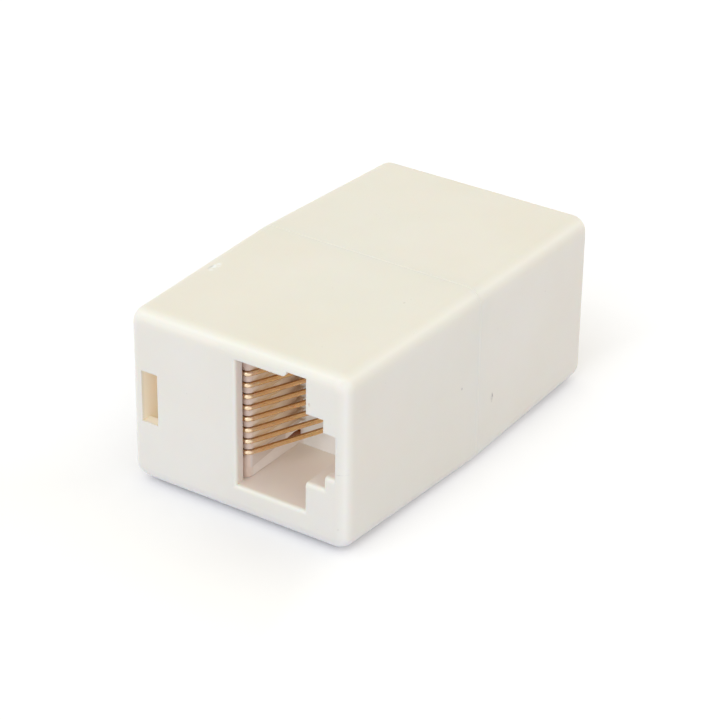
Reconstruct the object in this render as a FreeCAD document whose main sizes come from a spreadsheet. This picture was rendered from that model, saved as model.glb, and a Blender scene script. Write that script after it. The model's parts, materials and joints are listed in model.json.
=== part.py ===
import FreeCAD, Part
import os
import Sketcher

# Inline coupler for two eight-contact modular plugs.
#
# Frame: +X across, +Y along the length, +Z up, origin under the middle of the lowest edges.  The front
# half lies at y < 0 and its port opens towards -Y in the +X half of the face.  The rear half is the
# same moulding turned half a turn about Z, so its port opens towards +Y in the -X half.  Eight wires
# lie in the x = 0 plane between the two contact carriers and are bent round a nose at either end.

doc = FreeCAD.newDocument("inline_coupler")

SIZES = [
    # housing
    ("overall_length", 36.6),
    ("seam_width", 22.2),
    ("side_draft", 0.45),           # each side comes in by this much between seam and end
    ("roof_draft", 0.34),           # the same for the roof and the base
    ("long_radius", 1.45),
    ("end_radius", 1.3),
    ("seam_radius", 0.06),          # softens the rim where the halves meet
    ("face_wall", 1.0),             # thickness of the end face
    ("floor_wall", 3.08),           # base to port, at the seam
    ("roof_wall", 1.28),            # port to roof, at the seam
    ("port_tall", 11.84),
    ("port_wide", 6.84),            # from the contact side to the latch side
    ("port_deep", 8.54),            # from the end face to the carrier's wall
    ("latch_drop", 0.2),            # middle of the latch slot under the port's middle
    ("latch_wide", 1.62),
    ("latch_tall", 6.16),
    ("keyway_wide", 1.13),
    ("keyway_tall", 3.88),
    ("step_proud", 0.2),            # lower step stands in from the port's latch side
    ("lintel_drop", 0.45),
    ("lintel_long", 4.94),
    ("lintel_radius", 0.38),
    ("step_radius", 0.35),
    ("opening_radius", 0.4),
    ("window_inset", 1.3),
    ("window_wide", 1.61),
    ("window_tall", 4.64),
    ("window_drop", 0.76),          # middle of the window under the port's middle
    ("hollow_floor", 1.6),
    ("hollow_roof", 1.3),
    ("web", 1.0),                   # wall between the port and the catch hollow
    ("seat", 0.3),                  # shoulder that stops the carrier
    ("fit_gap", 0.05),
    # snap arm and its ledge
    ("ledge_deep", 0.8),
    ("ledge_back", 9.6),            # from the seam to the ledge
    ("ledge_thick", 1.5),
    ("arm_thick", 0.9),
    ("arm_gap", 0.1),
    ("hook_long", 1.9),
    ("arm_side_gap", 0.25),
    # wires
    ("wire_bore", 0.46),
    ("pitch", 1.016),
    ("bend", 0.48),                 # radius of the wire's middle line round the nose
    ("wire_offset", 0.65),           # straight run to the middle plane
    ("jog_half", 1.6),              # half the length of the wire's crossing at the seam
    ("nose_gap", 0.25),             # wire to the inside of the end face
    ("spring_angle", 23.0),
    ("tip_gap", 0.6),               # wire's free end to the carrier's wall
    # carriers
    ("groove_gap", 0.03),
    ("comb_in", 0.35),              # comb notches in the corner of plate and wall
    ("comb_out", 0.5),
    ("comb_tall", 0.42),
    ("plate_margin", 1.44),          # plate beyond the outer wires
    ("foot_rise", 0.9),             # foot and head rails run this far behind the plate
    ("foot_recess", 0.12),          # and this much below its face
    ("slit_long", 1.6),             # arched slit under the plate's lower edge
    ("slit_rise", 0.6),
    ("slit_front", 0.08),
    ("slit_back", 0.21),
    ("slit_wide", 0.24),
    ("slit_deep", 0.8),
    ("carrier_wall", 1.2),
    ("jog_gap", 0.15),
]

sheet = doc.addObject("Spreadsheet::Sheet", "Sizes")
sheet.Label = "dims"
for row, (alias, number) in enumerate(SIZES, start=1):
    sheet.set("A%d" % row, alias)
    sheet.set("B%d" % row, str(number))
    sheet.setAlias("B%d" % row, alias)
doc.recompute()

CONTACTS = 8
CLOSE = 0.01                        # how near an edge must lie to the place it is looked for


def cells(text):
    """Turns every size's name in an expression into its cell in the sheet."""
    words = dict(SIZES)
    out = ""
    word = ""
    for letter in text + " ":
        if letter.isalnum() or letter == "_":
            word += letter
            continue
        out += "dims." + word if word in words else word
        out += letter
        word = ""
    return out.strip()


def value(text):
    """The number that an expression gives now."""
    return float(sheet.evalExpression(cells(text)))


# Places that several sketches share.  y runs from the seam at 0 to the front face at -FRONT.
FRONT = "(overall_length / 2)"
FACE_BACK = "(overall_length / 2 - face_wall)"
PORT_BACK = "(overall_length / 2 - port_deep)"
HEIGHT = "(floor_wall + port_tall + roof_wall)"
PORT_MIDDLE = "(floor_wall + port_tall / 2)"
PORT_ROOF = "(floor_wall + port_tall)"
LATCH_LOW = "(%s - latch_drop - latch_tall / 2)" % PORT_MIDDLE
LATCH_HIGH = "(%s - latch_drop + latch_tall / 2)" % PORT_MIDDLE
KEY_LOW = "(%s - latch_drop - keyway_tall / 2)" % PORT_MIDDLE
KEY_HIGH = "(%s - latch_drop + keyway_tall / 2)" % PORT_MIDDLE
WINDOW_LOW = "(%s - window_drop - window_tall / 2)" % PORT_MIDDLE
WINDOW_HIGH = "(%s - window_drop + window_tall / 2)" % PORT_MIDDLE
STEP_SIDE = "(port_wide - step_proud)"
LATCH_SIDE = "(port_wide + latch_wide + keyway_wide)"
SIDE = "(seam_width / 2 - side_draft - window_inset)"
NOSE = "(overall_length / 2 - face_wall - nose_gap - wire_bore / 2 - bend)"
PLATE_FACE = "(2 * bend - wire_offset)"
BEND_END_X = "(bend - wire_offset + bend * cos(spring_angle * 1 deg))"
BEND_END_Y = "(%s + bend * sin(spring_angle * 1 deg))" % NOSE
TIP_Y = "(overall_length / 2 - port_deep + tip_gap)"
TIP_X = "(%s + (%s - %s) * tan(spring_angle * 1 deg))" % (BEND_END_X, BEND_END_Y, TIP_Y)
GROOVE_DEEP = "(wire_bore / 2 + groove_gap)"
GROOVE_TALL = "(wire_bore + 2 * groove_gap)"
WEB_FACE = "(wire_offset + wire_bore / 2 + fit_gap)"
LOWEST = "(%s - %.1f * pitch)" % (PORT_MIDDLE, (CONTACTS - 1) / 2)
HIGHEST = "(%s + %.1f * pitch)" % (PORT_MIDDLE, (CONTACTS - 1) / 2)
PLATE_FOOT = "(%s - plate_margin)" % LOWEST
PLATE_HEAD = "(%s + plate_margin)" % HIGHEST
LEDGE_EDGE = "(seam_width / 2 - side_draft - window_inset - ledge_deep)"
ARM_SIDE = "(seam_width / 2 - side_draft - window_inset - ledge_deep - arm_gap)"
ARM_REACH = "(ledge_back + ledge_thick + arm_gap)"
ARM_FOOT = "(%s + arm_side_gap)" % WINDOW_LOW
ARM_HEAD = "(%s - arm_side_gap)" % WINDOW_HIGH


def sketch_on(body, name, role, offset="0"):
    """An empty sketch on one of the body's origin planes, moved along that plane's normal."""
    sketch = body.newObject("Sketcher::SketchObject", name)
    plane = [item for item in body.Origin.OriginFeatures if item.Role == role][0]
    sketch.AttachmentSupport = (plane, [""])
    sketch.MapMode = "FlatFace"
    sketch.setExpression("AttachmentOffset.Base.z", cells(offset))
    return sketch


def fix(sketch, geometry, point, x, y):
    """Dimensions a point of the sketch from its origin."""
    for kind, text in (("DistanceX", x), ("DistanceY", y)):
        index = sketch.addConstraint(Sketcher.Constraint(kind, -1, 1, geometry, point, value(text)))
        sketch.setExpression("Constraints[%d]" % index, cells(text))


def outline(sketch, corners, nose=False, scoops=()):
    """A closed anticlockwise outline.

    With a nose, its first edge is a half circle that bulges outwards.  The edges whose numbers are in
    scoops are quarter circles that bulge inwards, and start upright.
    """
    points = [FreeCAD.Vector(value(x), value(y), 0) for x, y in corners]
    count = len(points)
    for i in range(count):
        start, end = points[i], points[(i + 1) % count]
        edge = Part.LineSegment(start, end)
        if nose and i == 0:
            step = (end - start) * 0.5
            edge = Part.Arc(start, start + step + FreeCAD.Vector(step.y, -step.x, 0), end)
        if i in scoops:
            centre = FreeCAD.Vector(end.x, start.y, 0)
            towards_corner = (start + end) * 0.5 - centre
            radius = abs(end.x - start.x)
            edge = Part.Arc(start, centre + towards_corner.normalize() * radius, end)
        sketch.addGeometry(edge)
    # An arc of a sketch runs anticlockwise, so a scoop starts at the far end of its edge.
    for i in range(count):
        following = (i + 1) % count
        sketch.addConstraint(Sketcher.Constraint("Coincident", i, 1 if i in scoops else 2,
                                                 following, 2 if following in scoops else 1))
    for i, (x, y) in enumerate(corners):
        fix(sketch, i, 2 if i in scoops else 1, x, y)
    for i in scoops:
        text = corners[(i + 1) % count][0]
        index = sketch.addConstraint(Sketcher.Constraint("DistanceX", -1, 1, i, 3, value(text)))
        sketch.setExpression("Constraints[%d]" % index, cells(text))
    if nose:
        # The arc's middle stays on the chord, so it is fixed along whichever way the chord doesn't run.
        flat = near(points[0].y, points[1].y)
        kind, text = ("DistanceY", corners[0][1]) if flat else ("DistanceX", corners[0][0])
        index = sketch.addConstraint(Sketcher.Constraint(kind, -1, 1, 0, 3, value(text)))
        sketch.setExpression("Constraints[%d]" % index, cells(text))


def rectangle(left, right, low, high):
    return [(left, low), (right, low), (right, high), (left, high)]


def pad(body, name, sketch, length, towards_normal=True):
    feature = body.newObject("PartDesign::Pad", name)
    feature.Profile = sketch
    feature.setExpression("Length", cells(length))
    feature.Reversed = not towards_normal
    doc.recompute()
    return feature


def pocket(body, name, sketch, length, towards_normal=True):
    """Cuts along the sketch's normal, or against it, and checks that something was cut."""
    before = body.Shape.Volume
    feature = body.newObject("PartDesign::Pocket", name)
    feature.Profile = sketch
    feature.setExpression("Length", cells(length))
    feature.Reversed = towards_normal
    doc.recompute()
    if body.Shape.Volume >= before:
        raise RuntimeError(name + " cuts nothing")
    return feature


def cross_cut(body, name, corners, start, length, scoops=()):
    """A pocket of a cross-section in the XZ plane, from y = -start towards -Y."""
    sketch = sketch_on(body, name + "_sketch", "XZ_Plane", start)
    outline(sketch, corners, scoops=scoops)
    return pocket(body, name, sketch, length)


def cross_pad(body, name, corners, start, length):
    """A pad of a cross-section in the XZ plane, from y = -start towards -Y."""
    sketch = sketch_on(body, name + "_sketch", "XZ_Plane", start)
    outline(sketch, corners)
    return pad(body, name, sketch, length)


def round_edges(body, name, radius, wanted):
    """Rounds the edges that pass the test, which gets each edge and its middle point."""
    base = body.Tip
    names = []
    for index, edge in enumerate(base.Shape.Edges, start=1):
        middle = edge.valueAt((edge.FirstParameter + edge.LastParameter) / 2)
        if wanted(edge, middle):
            names.append("Edge%d" % index)
    if not names:
        raise RuntimeError(name + " finds no edge")
    feature = body.newObject("PartDesign::Fillet", name)
    feature.Base = (base, names)
    feature.setExpression("Radius", cells(radius))
    doc.recompute()
    return feature


def near(a, b):
    return abs(a - b) < CLOSE


def runs_along(edge, axis):
    """True for an edge that keeps within a few degrees of the axis."""
    step = edge.Vertexes[-1].Point - edge.Vertexes[0].Point
    return step.Length > 0 and abs(step.dot(axis)) > 0.99 * step.Length


def make_shell(label):
    """One moulded half: drafted box, port, catch window and hollow, and its snap arm."""
    body = doc.addObject("PartDesign::Body", label)
    body.Label = label

    # Box from the end face to the seam, with draft on its sides, roof and base.
    along = FreeCAD.Vector(0, 1, 0)
    up = FreeCAD.Vector(0, 0, 1)
    box = body.newObject("PartDesign::AdditiveWedge", label + "_box")
    for side, text in (
        ("Ymin", "-" + FRONT),
        ("Xmin", "-seam_width / 2 + side_draft"),
        ("Xmax", "seam_width / 2 - side_draft"),
        ("Zmin", "roof_draft"),
        ("Zmax", HEIGHT + " - roof_draft"),
        ("Ymax", "0"),
        ("X2min", "-seam_width / 2"),
        ("X2max", "seam_width / 2"),
        ("Z2min", "0"),
        ("Z2max", HEIGHT),
    ):
        box.setExpression(side, cells(text))
    doc.recompute()
    front = -value(FRONT)
    round_edges(body, label + "_long_edges", "long_radius", lambda edge, at: runs_along(edge, along))
    round_edges(body, label + "_end_edges", "end_radius", lambda edge, at: near(at.y, front))
    round_edges(body, label + "_seam_edges", "seam_radius", lambda edge, at: near(at.y, 0))

    # Port through the end face: plug opening, latch step, keyway and the hanging lintel, with rounded
    # corners on the two lower steps and on the lintel.
    port = [
        ("0", "floor_wall"),
        (STEP_SIDE, "floor_wall"),
        (STEP_SIDE, LATCH_LOW + " - step_radius"),
        (STEP_SIDE + " + step_radius", LATCH_LOW),
        ("port_wide + latch_wide", LATCH_LOW),
        ("port_wide + latch_wide", KEY_LOW + " - step_radius"),
        ("port_wide + latch_wide + step_radius", KEY_LOW),
        (LATCH_SIDE, KEY_LOW),
        (LATCH_SIDE, KEY_HIGH),
        ("port_wide + latch_wide", KEY_HIGH),
        ("port_wide + latch_wide", LATCH_HIGH),
        ("port_wide", LATCH_HIGH),
        ("port_wide", PORT_ROOF),
        ("lintel_long", PORT_ROOF),
        ("lintel_long", PORT_ROOF + " - lintel_drop + lintel_radius"),
        ("lintel_long - lintel_radius", PORT_ROOF + " - lintel_drop"),
        ("0", PORT_ROOF + " - lintel_drop"),
    ]
    cross_cut(body, label + "_port", port, FACE_BACK, "face_wall + end_radius", scoops=(2, 5, 14))

    # Plug space and the wider latch space behind the end face.
    cross_cut(body, label + "_plug_space", rectangle("-" + WEB_FACE, "port_wide", "floor_wall", PORT_ROOF),
              PORT_BACK, "port_deep - face_wall")
    cross_cut(body, label + "_latch_space",
              rectangle("port_wide - fit_gap", LATCH_SIDE, LATCH_LOW,
                        LATCH_HIGH),
              PORT_BACK, "port_deep - face_wall")
    cross_cut(body, label + "_carrier_bay",
              rectangle("-" + WEB_FACE, "port_wide + seat", "floor_wall - seat", PORT_ROOF + " + seat"),
              "0", PORT_BACK)

    # Hollow for the other half's snap arm, its window and its ledge.
    cross_cut(body, label + "_hollow",
              rectangle("-" + SIDE, "-" + WEB_FACE + " - web", "hollow_floor", HEIGHT + " - hollow_roof"),
              "0", FACE_BACK)
    cross_cut(body, label + "_window",
              rectangle("-" + SIDE, "-" + SIDE + " + window_wide", WINDOW_LOW,
                        WINDOW_HIGH),
              FACE_BACK, "face_wall + end_radius")
    cross_pad(body, label + "_ledge",
              rectangle("-" + SIDE + " - fit_gap", "-" + LEDGE_EDGE, ARM_FOOT, ARM_HEAD),
              "ledge_back", "ledge_thick")

    # Snap arm, drawn from above, reaching past the seam to the other half's ledge.
    arm = sketch_on(body, label + "_arm_sketch", "XY_Plane", ARM_FOOT)
    outline(arm, [
        (ARM_SIDE, "-fit_gap"),
        (ARM_SIDE, ARM_REACH),
        (SIDE + " - arm_gap", ARM_REACH),
        (ARM_SIDE + " - arm_thick / 2", ARM_REACH + " + hook_long"),
        (ARM_SIDE + " - arm_thick", ARM_REACH + " + hook_long"),
        (ARM_SIDE + " - arm_thick", "-fit_gap"),
    ])
    pad(body, label + "_arm", arm, "window_tall - 2 * arm_side_gap")

    # Sill with the lower latch steps, and lip on the contact side.  The upper step is rounded only where
    # the end face is flat beside it.
    sill = value("floor_wall")
    key_ledge = value(KEY_LOW)
    key_side = value("port_wide + latch_wide")
    flat_side = value("seam_width / 2 - side_draft - end_radius - opening_radius")
    last = value(LATCH_SIDE) if key_side < flat_side else key_side
    round_edges(body, label + "_opening", "opening_radius",
                lambda edge, at: near(at.y, front) and (
                    runs_along(edge, up) and near(at.x, 0)
                    or sill - CLOSE < at.z < key_ledge + CLOSE and CLOSE < at.x < last - CLOSE))
    return body


def make_carrier(label):
    """One contact carrier: grooved plate with a rounded nose, cored block and rails."""
    body = doc.addObject("PartDesign::Body", label)
    body.Label = label

    # Plate with its nose, seen from above.
    plate = sketch_on(body, label + "_plate_sketch", "XY_Plane", PLATE_FOOT)
    outline(plate, [("-wire_offset", "-" + NOSE), (PLATE_FACE, "-" + NOSE), (PLATE_FACE, "-" + PORT_BACK),
                    ("-wire_offset", "-" + PORT_BACK)], nose=True)
    pad(body, label + "_plate", plate, PLATE_HEAD + " - " + PLATE_FOOT)

    # Block that fills the bay behind the port, cored from the seam.  Its front is the port's back wall.
    cross_pad(body, label + "_block",
              rectangle("-wire_offset", "port_wide + seat - fit_gap", "floor_wall - seat + fit_gap",
                        PORT_ROOF + " + seat - fit_gap"),
              "fit_gap", PORT_BACK + " - fit_gap")
    cross_cut(body, label + "_core",
              rectangle("carrier_wall", "port_wide + seat - carrier_wall",
                        "floor_wall - seat + carrier_wall", PORT_ROOF + " + seat - carrier_wall"),
              "0", PORT_BACK + " - carrier_wall")
    cross_cut(body, label + "_jog_relief",
              rectangle("-wire_offset - bend", "wire_bore / 2 + jog_gap", PLATE_FOOT, PLATE_HEAD),
              "0", "jog_half + jog_gap")

    # Lower edge of the plate's proud face, which rises towards the wall and ends in an arch.
    arch = [
        ("-" + PORT_BACK, PLATE_FOOT + " + slit_rise - slit_back"),
        ("-" + PORT_BACK + " - 0.3 * slit_long", PLATE_FOOT + " + slit_rise - slit_back / 4"),
        ("-" + PORT_BACK + " - 0.6 * slit_long", PLATE_FOOT + " + slit_rise"),
        ("-" + PORT_BACK + " - slit_long", PLATE_FOOT + " + slit_rise - slit_front"),
    ]
    lift = sketch_on(body, label + "_lift_sketch", "YZ_Plane", PLATE_FACE + " - foot_recess")
    outline(lift, [("-" + NOSE + " - bend", PLATE_FOOT), ("-" + PORT_BACK, PLATE_FOOT + " - bend")] + arch)
    pocket(body, label + "_lift", lift, "foot_recess + bend")

    # Foot and head rails behind the plate, between the port's floor and roof.
    for name, low, high in (
        ("foot", "floor_wall + fit_gap", PLATE_FOOT + " + foot_rise"),
        ("head", PLATE_HEAD + " - foot_rise", PORT_ROOF + " - fit_gap"),
    ):
        rail = sketch_on(body, label + "_" + name + "_sketch", "XY_Plane", low)
        rail_left = "-" + WEB_FACE + " + fit_gap"
        rail_right = PLATE_FACE + " - foot_recess"
        rail_end = "-" + PORT_BACK + " + carrier_wall"
        outline(rail, [(rail_left, "-" + NOSE), (rail_right, "-" + NOSE), (rail_right, rail_end),
                       (rail_left, rail_end)], nose=True)
        pad(body, label + "_" + name, rail, high + " - (" + low + ")")

    # Arched slit between the plate's lower edge and the foot rail.
    slit = sketch_on(body, label + "_slit_sketch", "YZ_Plane", PLATE_FACE + " - slit_deep")
    outline(slit, [(y, z + " - slit_wide") for y, z in reversed(arch[:3])] + arch)
    pocket(body, label + "_slit", slit, "slit_deep + bend")

    # One groove round the nose for each wire, and a comb notch where the plate meets the wall.
    groove = sketch_on(body, label + "_groove_sketch", "XY_Plane",
                       LOWEST + " - " + GROOVE_TALL + " / 2")
    outline(groove, [
        ("-wire_offset + " + GROOVE_DEEP, "-" + NOSE),
        (PLATE_FACE + " - " + GROOVE_DEEP, "-" + NOSE),
        (PLATE_FACE + " - " + GROOVE_DEEP, "-" + PORT_BACK),
        (PLATE_FACE + " + bend", "-" + PORT_BACK),
        (PLATE_FACE + " + bend", "-" + FRONT),
        ("-wire_offset - bend", "-" + FRONT),
        ("-wire_offset - bend", "bend"),
        ("-wire_offset + " + GROOVE_DEEP, "bend"),
    ], nose=True)
    repeat_upwards(body, label + "_grooves", groove, pocket(body, label + "_groove", groove, GROOVE_TALL))
    comb = sketch_on(body, label + "_comb_sketch", "XY_Plane", LOWEST + " - comb_tall / 2")
    outline(comb, rectangle(PLATE_FACE + " - comb_in", PLATE_FACE + " + comb_out",
                            "-" + PORT_BACK + " - comb_in", "-" + PORT_BACK + " + comb_out"))
    repeat_upwards(body, label + "_combs", comb, pocket(body, label + "_comb", comb, "comb_tall"))
    return body


def repeat_upwards(body, name, sketch, feature):
    """Repeats a feature once for each wire, along its sketch's normal."""
    rows = body.newObject("PartDesign::LinearPattern", name)
    rows.Originals = [feature]
    rows.Direction = (sketch, ["N_Axis"])
    rows.setExpression("Length", cells("%d * pitch" % (CONTACTS - 1)))
    rows.Occurrences = CONTACTS
    body.Tip = rows
    doc.recompute()


def jog_middle():
    """Middle point of the rear half of the wire's S-bend at the seam, between (0, 0) and the offset."""
    offset, half = value("wire_offset"), value("jog_half")
    radius = (offset * offset + half * half) / (2 * offset)
    middle = FreeCAD.Vector(offset - radius, half, 0)
    return middle + (FreeCAD.Vector(offset / 2, half / 2, 0) - middle).normalize() * radius


def make_wire(label, height):
    """One contact: sprung end, bend round the front nose, straight run, and the same at the rear."""
    body = doc.addObject("PartDesign::Body", label)
    body.Label = label
    path = sketch_on(body, label + "_path", "XY_Plane", height)
    half = [
        (TIP_X, "-" + TIP_Y),
        (BEND_END_X, "-" + BEND_END_Y),
        ("-wire_offset", "-" + NOSE),
        ("-wire_offset", "-jog_half"),
    ]
    route = half + [("0", "0")] + [("-(%s)" % x, "-(%s)" % y) for x, y in reversed(half)]
    points = [FreeCAD.Vector(value(x), value(y), 0) for x, y in route]
    # Each arc is given its middle's height, and the side that its middle point lies on.
    nose = FreeCAD.Vector(value("bend - wire_offset"), -value(NOSE + " + bend"), 0)
    sag = jog_middle()
    arcs = {1: (nose, "-" + NOSE), 3: (-sag, "-jog_half"), 4: (sag, "jog_half"), 6: (-nose, NOSE)}
    for i, (start, end) in enumerate(zip(points[:-1], points[1:])):
        if i in arcs:
            path.addGeometry(Part.Arc(start, arcs[i][0], end))
        else:
            path.addGeometry(Part.LineSegment(start, end))
    # An arc of a sketch runs anticlockwise, so the first three start at the far end of their stretch.
    backwards = (1, 3)
    for i in range(len(points) - 1):
        first, second = (2, 1) if i in backwards else (1, 2)
        if i in arcs:
            index = path.addConstraint(Sketcher.Constraint("DistanceY", -1, 1, i, 3, value(arcs[i][1])))
            path.setExpression("Constraints[%d]" % index, cells(arcs[i][1]))
        if i + 1 < len(points) - 1:
            following = 2 if i + 1 in backwards else 1
            path.addConstraint(Sketcher.Constraint("Coincident", i, second, i + 1, following))
        fix(path, i, first, *route[i])
    fix(path, len(points) - 2, 2, *route[-1])
    doc.recompute()

    section = body.newObject("Sketcher::SketchObject", label + "_section")
    section.AttachmentSupport = (path, ["Edge1"])
    section.MapMode = "NormalToEdge"
    section.MapPathParameter = 0
    section.addGeometry(Part.Circle(FreeCAD.Vector(0, 0, 0), FreeCAD.Vector(0, 0, 1), value("wire_bore / 2")))
    section.addConstraint(Sketcher.Constraint("Coincident", 0, 3, -1, 1))
    index = section.addConstraint(Sketcher.Constraint("Radius", 0, value("wire_bore / 2")))
    section.setExpression("Constraints[%d]" % index, cells("wire_bore / 2"))
    doc.recompute()
    pipe = body.newObject("PartDesign::AdditivePipe", label + "_pipe")
    pipe.Profile = section
    pipe.Spine = (path, ["Edge%d" % (i + 1) for i in range(len(points) - 1)])
    doc.recompute()
    return body


shells = [make_shell("front_shell"), make_shell("rear_shell")]
carriers = [make_carrier("front_contact_carrier"), make_carrier("rear_contact_carrier")]
wires = [make_wire("contact_wire_%d" % (i + 1), LOWEST + " + %d * pitch" % i)
         for i in range(CONTACTS)]
HALF_TURN = FreeCAD.Placement(FreeCAD.Vector(0, 0, 0), FreeCAD.Rotation(FreeCAD.Vector(0, 0, 1), 180))
for rear in (shells[1], carriers[1]):
    rear.Placement = HALF_TURN
doc.recompute()

parts = shells + carriers + wires
bad = [item.Name for item in doc.Objects if "Invalid" in item.State or "Error" in item.State]
bad += [part.Label for part in parts if part.Shape.isNull() or not part.Shape.isValid()]
if bad:
    raise RuntimeError("failed: " + ", ".join(bad))
os.makedirs("parts", exist_ok=True)
for part in parts:
    part.Shape.exportStep("parts/" + part.Label + ".step")
    box = part.Shape.optimalBoundingBox(False, False)
    print(part.Label, "%.2f mm3, %d solid" % (part.Shape.Volume, len(part.Shape.Solids)),
          "x %.2f to %.2f" % (box.XMin, box.XMax), "y %.2f to %.2f" % (box.YMin, box.YMax),
          "z %.2f to %.2f" % (box.ZMin, box.ZMax))
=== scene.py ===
"""Inline coupler for two modular plugs.

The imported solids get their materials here: moulded ivory shells, white contact carriers and gold-plated
wires.  The script adds a floor, light and a camera, and no piece of the coupler.
"""

import json
import math

import bpy
from mathutils import Matrix, Vector


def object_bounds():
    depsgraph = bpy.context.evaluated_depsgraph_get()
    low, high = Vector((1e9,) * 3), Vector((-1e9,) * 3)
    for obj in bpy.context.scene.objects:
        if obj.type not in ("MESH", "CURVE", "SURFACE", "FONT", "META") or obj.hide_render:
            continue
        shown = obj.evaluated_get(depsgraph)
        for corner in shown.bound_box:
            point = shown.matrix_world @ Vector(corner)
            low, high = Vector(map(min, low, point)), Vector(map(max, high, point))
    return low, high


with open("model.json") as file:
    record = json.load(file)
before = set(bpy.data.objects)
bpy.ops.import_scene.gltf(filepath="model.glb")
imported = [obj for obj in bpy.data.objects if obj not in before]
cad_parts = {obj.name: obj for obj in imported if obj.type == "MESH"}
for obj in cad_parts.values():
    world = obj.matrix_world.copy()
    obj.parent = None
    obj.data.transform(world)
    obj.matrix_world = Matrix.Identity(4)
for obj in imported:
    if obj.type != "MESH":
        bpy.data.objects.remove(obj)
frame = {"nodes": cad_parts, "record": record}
cad_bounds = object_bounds()
MM = 0.001


# ---------------------------------------------------------------- shader helpers
class Nodes:
    """A small wrapper that adds and links the nodes of one tree, which it empties first."""

    def __init__(self, tree):
        self.tree = tree
        self.tree.nodes.clear()

    def node(self, kind, **settings):
        made = self.tree.nodes.new(kind)
        for key, setting in settings.items():
            setattr(made, key, setting)
        return made

    def feed(self, socket, value):
        """Links another node's output to the socket, or sets a plain value on it."""
        if isinstance(value, bpy.types.NodeSocket):
            self.tree.links.new(value, socket)
        else:
            socket.default_value = value

    def axes(self, vector):
        """The vector's X, Y and Z."""
        made = self.node("ShaderNodeSeparateXYZ")
        self.feed(made.inputs[0], vector)
        return tuple(made.outputs)

    def math(self, operation, a, b=0.0):
        """The result of one Math node; an operation on one number leaves b alone."""
        made = self.node("ShaderNodeMath", operation=operation)
        self.feed(made.inputs[0], a)
        self.feed(made.inputs[1], b)
        return made.outputs[0]

    def mix(self, amount, a, b):
        """Colour a where the amount is 0, and b where it is 1."""
        made = self.node("ShaderNodeMix", data_type="RGBA")
        self.feed(made.inputs["Factor"], amount)
        self.feed(made.inputs["A"], a)
        self.feed(made.inputs["B"], b)
        return made.outputs["Result"]

    def background_rays(self):
        """1 for rays that look at the background: from the camera, off a gloss or through glass."""
        path = self.node("ShaderNodeLightPath")
        shown = path.outputs["Is Camera Ray"]
        for kind in ("Is Glossy Ray", "Is Transmission Ray"):
            shown = self.math("MAXIMUM", shown, path.outputs[kind])
        return shown


class Shader(Nodes):
    """The nodes of one new material, with its places and normals in the object's own space."""

    def __init__(self, name):
        self.material = bpy.data.materials.new(name)
        self.material.use_nodes = True
        super().__init__(self.material.node_tree)
        coordinates = self.node("ShaderNodeTexCoord").outputs
        self.place = coordinates["Object"]
        self.normal = coordinates["Normal"]

    def noise(self, per_metre, detail, roughness, stretch=None):
        """Noise of about 0 to 1, by its features per metre; stretch scales the place first."""
        made = self.node("ShaderNodeTexNoise")
        self.feed(made.inputs["Vector"], self.stretched(stretch) if stretch else self.place)
        self.feed(made.inputs["Scale"], per_metre)
        self.feed(made.inputs["Detail"], detail)
        self.feed(made.inputs["Roughness"], roughness)
        return made.outputs["Fac"]

    def stretched(self, stretch):
        """The place scaled along each axis: below 1, noise on it is drawn out along that axis."""
        made = self.node("ShaderNodeMapping")
        self.feed(made.inputs["Vector"], self.place)
        self.feed(made.inputs["Scale"], stretch)
        return made.outputs["Vector"]

    def remap(self, value, source, target, smooth=False):
        """The value with its source range (from, to) moved to the target range, and held at its ends."""
        made = self.node("ShaderNodeMapRange", interpolation_type="SMOOTHSTEP" if smooth else "LINEAR")
        self.feed(made.inputs["Value"], value)
        for key, number in zip(("From Min", "From Max", "To Min", "To Max"), source + target):
            self.feed(made.inputs[key], number)
        return made.outputs["Result"]

    def spot(self, centre, half_sizes):
        """1 inside an ellipsoid about the centre and 0 outside, with a soft edge; millimetres."""
        soft = 0.35
        offset = self.place
        for operation, numbers in (("SUBTRACT", centre), ("DIVIDE", half_sizes)):
            step = self.node("ShaderNodeVectorMath", operation=operation)
            self.feed(step.inputs[0], offset)
            self.feed(step.inputs[1], [number * MM for number in numbers])
            offset = step.outputs[0]
        length = self.node("ShaderNodeVectorMath", operation="LENGTH")
        self.feed(length.inputs[0], offset)
        return self.remap(length.outputs["Value"], (1 - soft, 1 + soft), (1, 0), smooth=True)

    def cavity(self, low, high, soft):
        """1 inside a box and inside its image under half a turn about Z, and 0 outside; millimetres.

        A corner is (across, along, up).  Across is +X in the front half and -X in the rear half, and
        along is the distance from the seam.  The soft band lies outside the box.
        """
        x, y, z = self.axes(self.place)
        across = self.math("MULTIPLY", self.math("MULTIPLY", x, self.math("SIGN", y)), -1.0)
        inside = 1.0
        for axis, least, most in zip((across, self.math("ABSOLUTE", y), z), low, high):
            rise = self.remap(axis, ((least - soft) * MM, least * MM), (0, 1))
            fall = self.remap(axis, (most * MM, (most + soft) * MM), (1, 0))
            inside = self.math("MULTIPLY", self.math("MULTIPLY", inside, rise), fall)
        return inside

    def bump(self, height, metres, under=None):
        """A normal from the height; under is another bump that this one lies on."""
        made = self.node("ShaderNodeBump")
        self.feed(made.inputs["Distance"], metres)
        self.feed(made.inputs["Height"], height)
        if under is not None:
            self.feed(made.inputs["Normal"], under)
        return made.outputs["Normal"]

    def output(self, shader):
        """Makes the shader the material's surface."""
        out = self.node("ShaderNodeOutputMaterial")
        self.feed(out.inputs["Surface"], shader.outputs[0])

    def surface(self, **sockets):
        """A Principled surface; an underscore in a name stands for a space in the socket's."""
        shader = self.node("ShaderNodeBsdfPrincipled")
        for key, value in sockets.items():
            self.feed(shader.inputs[key.replace("_", " ")], value)
        self.output(shader)


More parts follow.
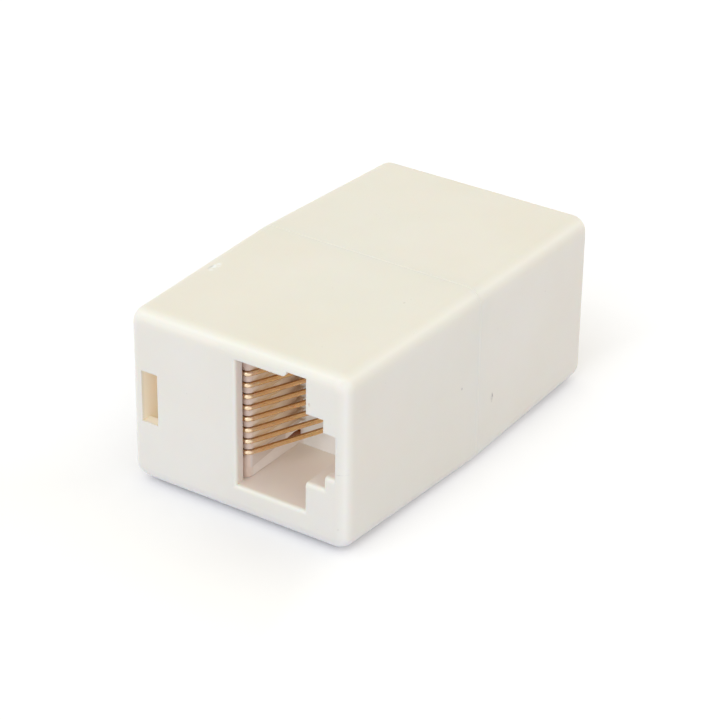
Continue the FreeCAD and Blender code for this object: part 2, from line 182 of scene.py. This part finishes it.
def linear(r, g, b):
    """Display values of 0 to 255 as scene colour."""
    def one(c):
        c /= 255
        return c / 12.92 if c <= 0.04045 else ((c + 0.055) / 1.055) ** 2.4
    return (one(r), one(g), one(b), 1.0)


BLACK = (0, 0, 0, 1)
WHITE = (1, 1, 1, 1)


# ---------------------------------------------------------------- places on the coupler
def shortened(box, along, soft):
    """The box ended at another distance from the seam, with another soft band."""
    low, (across, _, up), _ = box
    return low, (across, along, up), soft


# Boxes as Shader.cavity takes them: least corner, greatest corner and soft band.
# On the shells: the port and its far end, the hollow beside it, and a thin slab at the seam.
PORT = ((-0.5, 9.0, 2.9), (9.8, 17.8, 15.2), 0.3)
PORT_BACK = shortened(PORT, 11.5, 4.0)
HOLLOW = ((-9.4, 0.0, 1.5), (-1.9, 17.9, 15.0), 0.35)
SEAM = ((-11.5, 0.0, -0.5), (11.5, 0.06, 16.5), 0.05)
# On the carriers: the block behind the wires, and the plate that they lie on, with its far end, its
# rounded nose, the strip under the lowest wire and the slit at its foot.
BEHIND_WIRES = ((0.6, 9.0, 2.9), (10.5, 17.4, 15.2), 0.2)
PLATE = ((-1.2, 9.5, 5.25), (0.45, 18.2, 14.6), 0.05)
PLATE_BACK_SHADE = shortened(PLATE, 10.7, 2.3)
NOSE = ((-1.2, 16.7, 3.2), (0.45, 18.2, 14.6), 0.6)
UNDER_WIRES = ((0.25, 12.0, 3.5), (0.45, 17.0, 5.25), 0.05)
SLIT = ((-0.75, 9.5, 3.85), (0.20, 11.5, 4.70), 0.06)
# On the wires: the bend around the nose.
BEND_HIGHLIGHT = ((-1.0, 16.8, 4.0), (0.6, 18.0, 14.0), 1.0)

# Small marks on the shells: middle and half-sizes in millimetres, colour and strength.
SHELL_MARKS = (
    # A scuff on the top-left edge, painted white as its glint: partly a real mark, partly a painted
    # highlight.
    ((-9.08, -8.75, 16.02), (0.30, 0.75, 0.30), (255, 255, 252), 1.0),
    ((-9.35, -9.00, 15.95), (0.10, 0.40, 0.20), (205, 203, 196), 0.8),
    ((11.00, 2.30, 5.40), (0.30, 0.16, 0.40), (170, 162, 152), 1.0),
    ((11.00, -2.45, 8.45), (0.30, 0.10, 0.28), (198, 192, 182), 0.9),
    ((7.15, -18.28, 12.76), (0.10, 0.20, 0.16), (214, 190, 164), 0.9),
    ((10.4, -18.00, 7.40), (0.75, 0.60, 0.05), (208, 203, 194), 0.7),
)


# ---------------------------------------------------------------- materials
IVORY = linear(241, 236, 221)
IVORY_MOTTLE = linear(238, 232, 214)
IVORY_FLOW = linear(243, 239, 227)
IVORY_GRAIN = linear(205, 196, 178)
IVORY_EDGE_HIGHLIGHT = linear(255, 250, 236)
IVORY_PORT_SHADE = linear(239, 230, 217)
# A faint painted glow stands for the light that comes through the thin walls; at the seam it is painted
# light that pales the joint line.
HOLLOW_GLOW = (0.130, 0.102, 0.074, 1)
PORT_GLOW = (0.020, 0.006, 0.008, 1)
PORT_BACK_GLOW = (0.055, 0.043, 0.037, 1)
SEAM_GLOW = (0.050, 0.042, 0.032, 1)


def ivory_base(s, in_port):
    """The shells' colour: mottling, flow marks, grains, small marks, edges painted pale as a highlight,
    and ports painted warmer and darker as shade.
    """
    tone = s.noise(90, detail=4, roughness=0.55)
    base = s.mix(s.remap(tone, (0.3, 0.7), (0, 1)), IVORY, IVORY_MOTTLE)
    flow = s.noise(60, detail=3, roughness=0.5, stretch=(1.0, 0.22, 1.0))
    base = s.mix(s.remap(flow, (0.35, 0.7), (0, 0.25)), base, IVORY_FLOW)
    grains = s.noise(2600, detail=2, roughness=0.6)
    base = s.mix(s.remap(grains, (0.73, 0.8), (0, 0.35), smooth=True), base, IVORY_GRAIN)
    ragged = s.noise(1500, detail=3, roughness=0.6)
    for centre, half_sizes, colour, strength in SHELL_MARKS:
        patchy = s.remap(ragged, (0.38, 0.55), (0, strength))
        base = s.mix(s.math("MULTIPLY", s.spot(centre, half_sizes), patchy), base, linear(*colour))
    # On a flat the normal lies near an axis; elsewhere are the rounded edges, painted paler as a
    # highlight.
    flatness = 0.0
    for part in s.axes(s.normal):
        flatness = s.math("MAXIMUM", flatness, s.math("ABSOLUTE", part))
    base = s.mix(s.remap(flatness, (0.74, 0.98), (0.8, 0)), base, IVORY_EDGE_HIGHLIGHT)
    # Inside the port the colour is painted darker and warmer, as shade.
    return s.mix(in_port, base, IVORY_PORT_SHADE)


def ivory_glow(s, in_port):
    """The shells' painted glow: most behind the windows, some at the seam and in the ports, none outside.
    """
    glow = s.mix(s.cavity(*HOLLOW), BLACK, HOLLOW_GLOW)
    glow = s.mix(in_port, glow, PORT_GLOW)
    glow = s.mix(s.math("MULTIPLY", in_port, s.cavity(*PORT_BACK)), glow, PORT_BACK_GLOW)
    return s.mix(s.cavity(*SEAM), glow, SEAM_GLOW)


def ivory_plastic():
    """Moulded ABS with a faintly uneven gloss and a little depth."""
    s = Shader("ivory_abs")
    in_port = s.cavity(*PORT)
    broad_gloss = s.remap(s.noise(240, detail=4, roughness=0.6), (0.3, 0.7), (0.30, 0.40))
    fine_gloss = s.remap(s.noise(1800, detail=2, roughness=0.6), (0.35, 0.7), (-0.03, 0.05))
    waves = s.bump(s.noise(130, detail=2, roughness=0.4), metres=0.00012)
    pores = s.bump(s.noise(4200, detail=2, roughness=0.5), metres=0.000006, under=waves)
    s.surface(Base_Color=ivory_base(s, in_port), Roughness=s.math("ADD", broad_gloss, fine_gloss),
              IOR=1.5, Normal=pores, Subsurface_Weight=0.3, Subsurface_Radius=(1.0, 0.62, 0.36),
              Subsurface_Scale=0.0012, Emission_Color=ivory_glow(s, in_port), Emission_Strength=1.0)
    return s.material


PBT = linear(243, 235, 229)
PBT_MOTTLE = linear(238, 228, 221)
# The same painted glow on the carriers, standing for light through the walls and the opening: brightest
# behind the wires, warm between them and red in the slit.
PBT_GLOW = (0.070, 0.062, 0.052, 1)
BEHIND_WIRES_GLOW = (0.115, 0.138, 0.130, 1)
PLATE_GLOW = (0.080, 0.050, 0.018, 1)
SLIT_GLOW = (0.050, 0.012, 0, 1)


def carrier_plastic():
    """Moulded PBT, a little greyer and pinker than the shells."""
    s = Shader("white_pbt")
    tone = s.noise(400, detail=4, roughness=0.6)
    base = s.mix(s.remap(tone, (0.3, 0.7), (0, 1)), PBT, PBT_MOTTLE)
    glow = s.mix(s.cavity(*BEHIND_WIRES), PBT_GLOW, BEHIND_WIRES_GLOW)
    # The plate between the wires is painted warmer, as the wires' reflected light, and darker deep in the
    # port, as painted shade, where it stops glowing.
    plate = s.cavity(*PLATE)
    plate_back_shade = s.math("MULTIPLY", plate, s.cavity(*PLATE_BACK_SHADE))
    # The tints below are painted light and shade: the wires' warm reflected light on the plate, shade
    # deep in the port, warm shade on the nose and under the lowest wire, and dark shade in the slit,
    # which also gets a red painted glow.
    for amount, tint, light in (
        (plate, linear(241, 230, 216), PLATE_GLOW),
        (plate_back_shade, linear(224, 198, 171), BLACK),
        (s.cavity(*NOSE), linear(233, 209, 190), BLACK),
        (s.cavity(*UNDER_WIRES), linear(230, 217, 206), BLACK),
        (s.cavity(*SLIT), linear(100, 48, 6), SLIT_GLOW),
    ):
        base = s.mix(amount, base, tint)
        glow = s.mix(amount, glow, light)
    gloss = s.remap(s.noise(1500, detail=3, roughness=0.6), (0.3, 0.7), (0.32, 0.48))
    pores = s.bump(s.noise(3500, detail=2, roughness=0.5), metres=0.000006)
    s.surface(Base_Color=base, Roughness=gloss, IOR=1.5, Normal=pores, Emission_Color=glow,
              Emission_Strength=1.0)
    return s.material


GOLD = linear(250, 220, 172)
GOLD_TARNISH = linear(242, 203, 147)
GOLD_STREAK = linear(228, 174, 116)
GOLD_BEND_HIGHLIGHT = linear(240, 228, 214)
GOLD_DARK_REFLECTION = linear(142, 88, 46)


def gold_wire():
    """Drawn wire with a bright gold flash: fine streaks, a painted highlight on the bend, and a painted
    dark reflection on top.
    """
    s = Shader("gold_wire")
    streaks = s.noise(2600, detail=2, roughness=0.5, stretch=(1.0, 0.05, 1.0))
    tarnish = s.noise(420, detail=4, roughness=0.6)
    base = s.mix(s.remap(tarnish, (0.35, 0.7), (0, 1)), GOLD, GOLD_TARNISH)
    base = s.mix(s.remap(streaks, (0.4, 0.75), (0, 0.3)), base, GOLD_STREAK)
    # The bend around the nose is painted half-way to near-white, as a highlight.
    base = s.mix(s.math("MULTIPLY", s.cavity(*BEND_HIGHLIGHT), 0.5), base, GOLD_BEND_HIGHLIGHT)
    # Surfaces that face up are painted dark brown, as a reflection of the dark port roof.
    upwards = s.axes(s.normal)[2]
    base = s.mix(s.remap(upwards, (0.80, 0.93), (0, 0.65)), base, GOLD_DARK_REFLECTION)
    s.surface(Base_Color=base, Metallic=1.0, Roughness=s.remap(streaks, (0.3, 0.7), (0.2, 0.3)),
              Normal=s.bump(streaks, metres=0.0000015))
    return s.material


LOOKS = {"shell": ivory_plastic(), "carrier": carrier_plastic(), "contact": gold_wire()}
for piece in frame["record"]["subparts"]:
    node = frame["nodes"][piece["node"]]
    node.data.materials.clear()
    node.data.materials.append(LOOKS[piece["material_slot"]])


# ---------------------------------------------------------------- floor, light and camera
PAPER_IN_FRONT = (0.955, 0.940, 0.905, 1)
PAPER = (0.95, 0.948, 0.958, 1)
PAPER_AS_LIGHT = (0.715, 0.728, 0.905, 1)
# Painted light added to the sweep where the background shows: by the coupler, around it, and on its +X
# side, where it paints the shadow paler.
LIFT_NEAR, LIFT_AROUND, LIFT_ASIDE = 0.10, 0.185, 0.205
# Where the sweep changes, in metres: along Y, away from the coupler's sides, and along X.
FADE_IN_FRONT, FADE_AROUND, FADE_ASIDE = (-0.03, -0.01), (0.002, 0.014), (0.007, 0.014)


def floor():
    """A white sweep, whose shadow is shaped by painted light.  What it throws back on the coupler is a
    little darker and bluer than it looks.
    """
    bpy.ops.mesh.primitive_plane_add(size=1.6, location=(0, 0, 0))
    ground = bpy.context.object
    ground.name = "floor"
    s = Shader("white_sweep")
    seen = s.background_rays()
    x, y, _ = s.axes(s.place)
    # The front light is cool, so the sweep is painted a little warmer there to offset it.
    paper = s.mix(s.remap(y, FADE_IN_FRONT, (0, 1)), PAPER_IN_FRONT, PAPER)
    matt = s.node("ShaderNodeBsdfDiffuse")
    s.feed(matt.inputs["Color"], s.mix(seen, PAPER_AS_LIGHT, paper))
    # Painted light whitens the sweep away from the coupler, and sooner on its +X side, so the shadow
    # there is painted paler.
    half_width, half_length, _ = cad_bounds[1]
    away = s.math("MAXIMUM", s.math("SUBTRACT", s.math("ABSOLUTE", x), half_width),
                  s.math("SUBTRACT", s.math("ABSOLUTE", y), half_length))
    painted_lift = s.math("MAXIMUM", s.remap(away, FADE_AROUND, (LIFT_NEAR, LIFT_AROUND)),
                  s.remap(x, FADE_ASIDE, (LIFT_NEAR, LIFT_ASIDE), smooth=True))
    glow = s.node("ShaderNodeEmission")
    s.feed(glow.inputs["Color"], WHITE)
    s.feed(glow.inputs["Strength"], s.math("MULTIPLY", seen, painted_lift))
    both = s.node("ShaderNodeAddShader")
    s.feed(both.inputs[0], matt.outputs[0])
    s.feed(both.inputs[1], glow.outputs[0])
    s.output(both)
    ground.data.materials.append(s.material)


# The dome's even light, and what is added to it towards the front, which is -Y and a little up.
EVEN_LIGHT = (0.846, 0.826, 0.764)
COOL_LIGHT = (0.27, 0.38, 0.60)
FRONT = Vector((0, -1, 0.3)).normalized()


def sky():
    """White where the background shows; as light, an even dome, cooler and brighter in front."""
    world = bpy.data.worlds.new("studio")
    bpy.context.scene.world = world
    world.use_nodes = True
    s = Nodes(world.node_tree)
    facing = s.node("ShaderNodeVectorMath", operation="DOT_PRODUCT")
    s.feed(facing.inputs[0], s.node("ShaderNodeTexCoord").outputs["Generated"])
    s.feed(facing.inputs[1], FRONT)
    # 1 straight in front, falling off with the square of the cosine to 0 at the sides and behind.
    towards_front = s.math("POWER", s.math("MAXIMUM", facing.outputs["Value"], 0), 2)
    brightest = [even + cool for even, cool in zip(EVEN_LIGHT, COOL_LIGHT)]
    light = s.node("ShaderNodeBackground")
    s.feed(light.inputs["Color"], s.mix(towards_front, (*EVEN_LIGHT, 1), (*brightest, 1)))
    white = s.node("ShaderNodeBackground")
    s.feed(white.inputs["Color"], WHITE)
    choose = s.node("ShaderNodeMixShader")
    s.feed(choose.inputs["Fac"], s.background_rays())
    s.feed(choose.inputs[1], light.outputs[0])
    s.feed(choose.inputs[2], white.outputs[0])
    out = s.node("ShaderNodeOutputWorld")
    s.feed(out.inputs["Surface"], choose.outputs[0])


def lamp():
    """A soft square lamp in front, above and a little to the right of the coupler."""
    at, target = Vector((0.064, -0.455, 0.386)), Vector((0, 0, 0.008))
    data = bpy.data.lights.new("front", "AREA")
    data.shape = "SQUARE"
    data.size = 0.25
    data.energy = 0.22
    data.color = (1.0, 0.98, 0.96)
    made = bpy.data.objects.new("front", data)
    bpy.context.scene.collection.objects.link(made)
    made.location = at
    made.rotation_euler = (target - at).to_track_quat("-Z", "Y").to_euler()


def camera():
    """The photograph's viewpoint: turned from -Y towards +X, raised, and rolled a little."""
    azimuth, elevation, roll = (math.radians(degrees) for degrees in (34.210, 28.261, 0.738))
    # In millimetres: the coupler's middle, and how far back, left and down from it the camera stands.
    middle = Vector((0, 0, 8))
    distance, leftwards, downwards = 219.543, 0.748, 1.250
    back = Vector((math.sin(azimuth) * math.cos(elevation),
                   -math.cos(azimuth) * math.cos(elevation),
                   math.sin(elevation)))
    right = Vector((math.cos(azimuth), math.sin(azimuth), 0))
    up = back.cross(right)
    place = (middle + back * distance - right * leftwards - up * downwards) * MM
    side = right * math.cos(roll) + up * math.sin(roll)
    top = up * math.cos(roll) - right * math.sin(roll)
    data = bpy.data.cameras.new("camera")
    data.sensor_width = 36
    data.lens = 131.11
    data.shift_x = 0.003716
    data.shift_y = -0.002376
    data.clip_start = 0.01
    data.clip_end = 10
    made = bpy.data.objects.new("camera", data)
    bpy.context.scene.collection.objects.link(made)
    turn = Matrix((side, top, back)).transposed().to_4x4()
    turn.translation = place
    made.matrix_world = turn
    bpy.context.scene.camera = made


floor()
sky()
lamp()
camera()
bpy.context.scene.view_settings.view_transform = "Standard"
